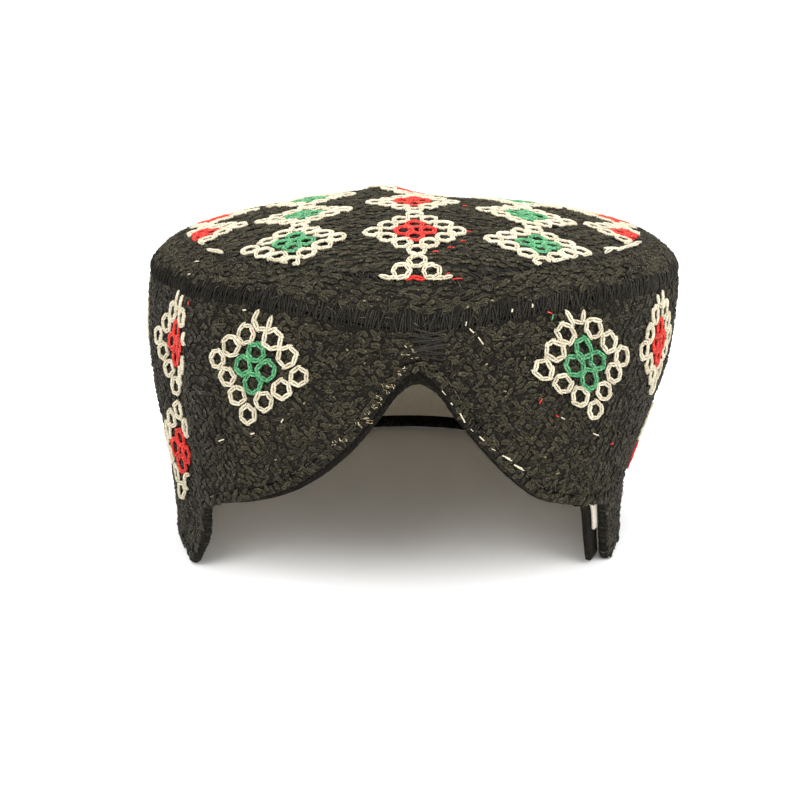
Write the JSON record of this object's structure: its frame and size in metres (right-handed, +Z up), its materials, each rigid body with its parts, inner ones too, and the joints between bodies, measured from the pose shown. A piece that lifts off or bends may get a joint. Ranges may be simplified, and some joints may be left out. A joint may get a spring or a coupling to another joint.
{
  "type": "sindhi cap",
  "caption": "Round stitched cotton cap with a low domed top, an upright soft wall cut out in an arch over the brow, a rolled hem and a pale lining.",
  "frame": {"origin": "on the surface that the cap rests on, under the middle of the cap", "axes": "+Z up through the crown, -Y towards the brow and its arch, +X to the right as the brow is looked at"},
  "size_m": [0.1806, 0.1827, 0.1156],
  "materials": {
    "crown_cloth": "black cotton worked all over in black chain stitch, with thread motifs in cream, green and red",
    "border_cloth": "black cotton worked all over in rows of black chain stitch",
    "band_cloth": "black cotton worked all over in small black stitches, with thread motifs in cream, green and red",
    "join_thread": "black thread wrapped side by side",
    "hem_cloth": "rolled black cotton, overcast with black and pale thread",
    "lining_cloth": "plain woven unbleached cotton"
  },
  "bodies": {
    "root": {"crown_top": "crown_cloth", "crown_ring": "border_cloth", "band": "band_cloth", "front_join": "join_thread", "rim_hem": "hem_cloth", "lining": "lining_cloth"}
  },
  "joints": []
}
